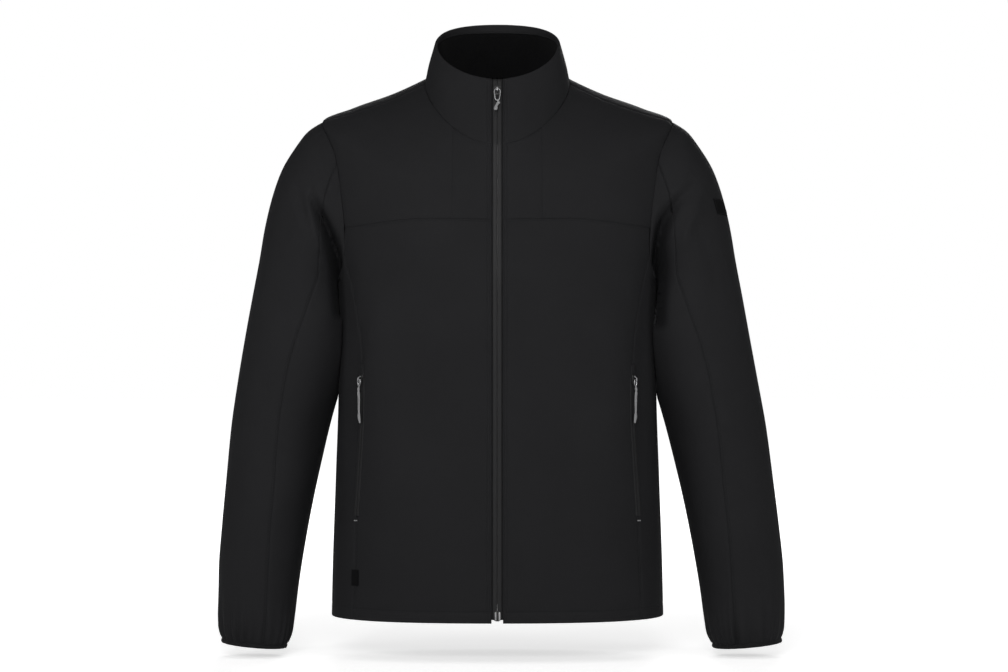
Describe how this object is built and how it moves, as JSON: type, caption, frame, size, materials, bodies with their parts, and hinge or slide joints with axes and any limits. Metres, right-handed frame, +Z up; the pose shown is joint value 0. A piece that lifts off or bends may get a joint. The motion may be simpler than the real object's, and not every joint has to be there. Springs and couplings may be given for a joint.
{
  "type": "softshell jacket",
  "caption": "Hip-length fitted softshell jacket, filled out and hollow, with a stand collar, a closed front zip, a chest yoke, zipped side pockets and long curved sleeves.",
  "frame": {"origin": "where the wearer's shoulders carry it: on the centre line, level with the foot of the collar at the side", "axes": "+Z up, -Y out of the front, +X towards the wearer's left"},
  "size_m": [0.7288, 0.247, 0.8169],
  "materials": {
    "cloth": "matte softshell, smooth tight weave",
    "inner_cloth": "matte brushed lining",
    "elastic": "matte ribbed binding",
    "zip_tape": "coated tape with a soft sheen",
    "label": "plain woven patch",
    "grey_metal": "satin grey lacquer",
    "grey_pull": "satin grey"
  },
  "bodies": {
    "jacket": {"back": "cloth", "collar": "cloth", "collar_facing": "inner_cloth", "cuff_left": "elastic", "cuff_right": "elastic", "front_lower_left": "cloth", "front_lower_right": "cloth", "hem_tag": "label", "pocket_slider_left": "grey_metal", "pocket_slider_right": "grey_metal", "pocket_zip_left": "zip_tape", "pocket_zip_right": "zip_tape", "side_panel_left": "cloth", "side_panel_right": "cloth", "sleeve_label": "label", "sleeve_top_left": "cloth", "sleeve_top_right": "cloth", "sleeve_under_left": "cloth", "sleeve_under_right": "cloth", "yoke_centre_left": "cloth", "yoke_centre_right": "cloth", "yoke_side_left": "cloth", "yoke_side_right": "cloth", "zip_box": "grey_metal", "zip_coil": "zip_tape", "zip_slider": "grey_metal", "zip_tape_left": "zip_tape", "zip_tape_right": "zip_tape"},
    "front_puller": {"zip_pull": "grey_pull"},
    "left_puller": {"pocket_pull_left": "grey_pull"},
    "right_puller": {"pocket_pull_right": "grey_pull"}
  },
  "joints": [
    {"name": "front_puller_hinge", "type": "hinge", "parent": "jacket", "child": "front_puller", "pos_m": [0, -0.08484, -0.01569], "axis": [-1, 0, 0], "range_deg": [0, 150]},
    {"name": "left_puller_hinge", "type": "hinge", "parent": "jacket", "child": "left_puller", "pos_m": [0.1749, -0.08603, -0.38403], "axis": [-0.662, -0.749, -0.027], "range_deg": [0, 150]},
    {"name": "right_puller_hinge", "type": "hinge", "parent": "jacket", "child": "right_puller", "pos_m": [-0.1749, -0.08603, -0.38403], "axis": [-0.662, 0.749, 0.027], "range_deg": [0, 150]}
  ]
}
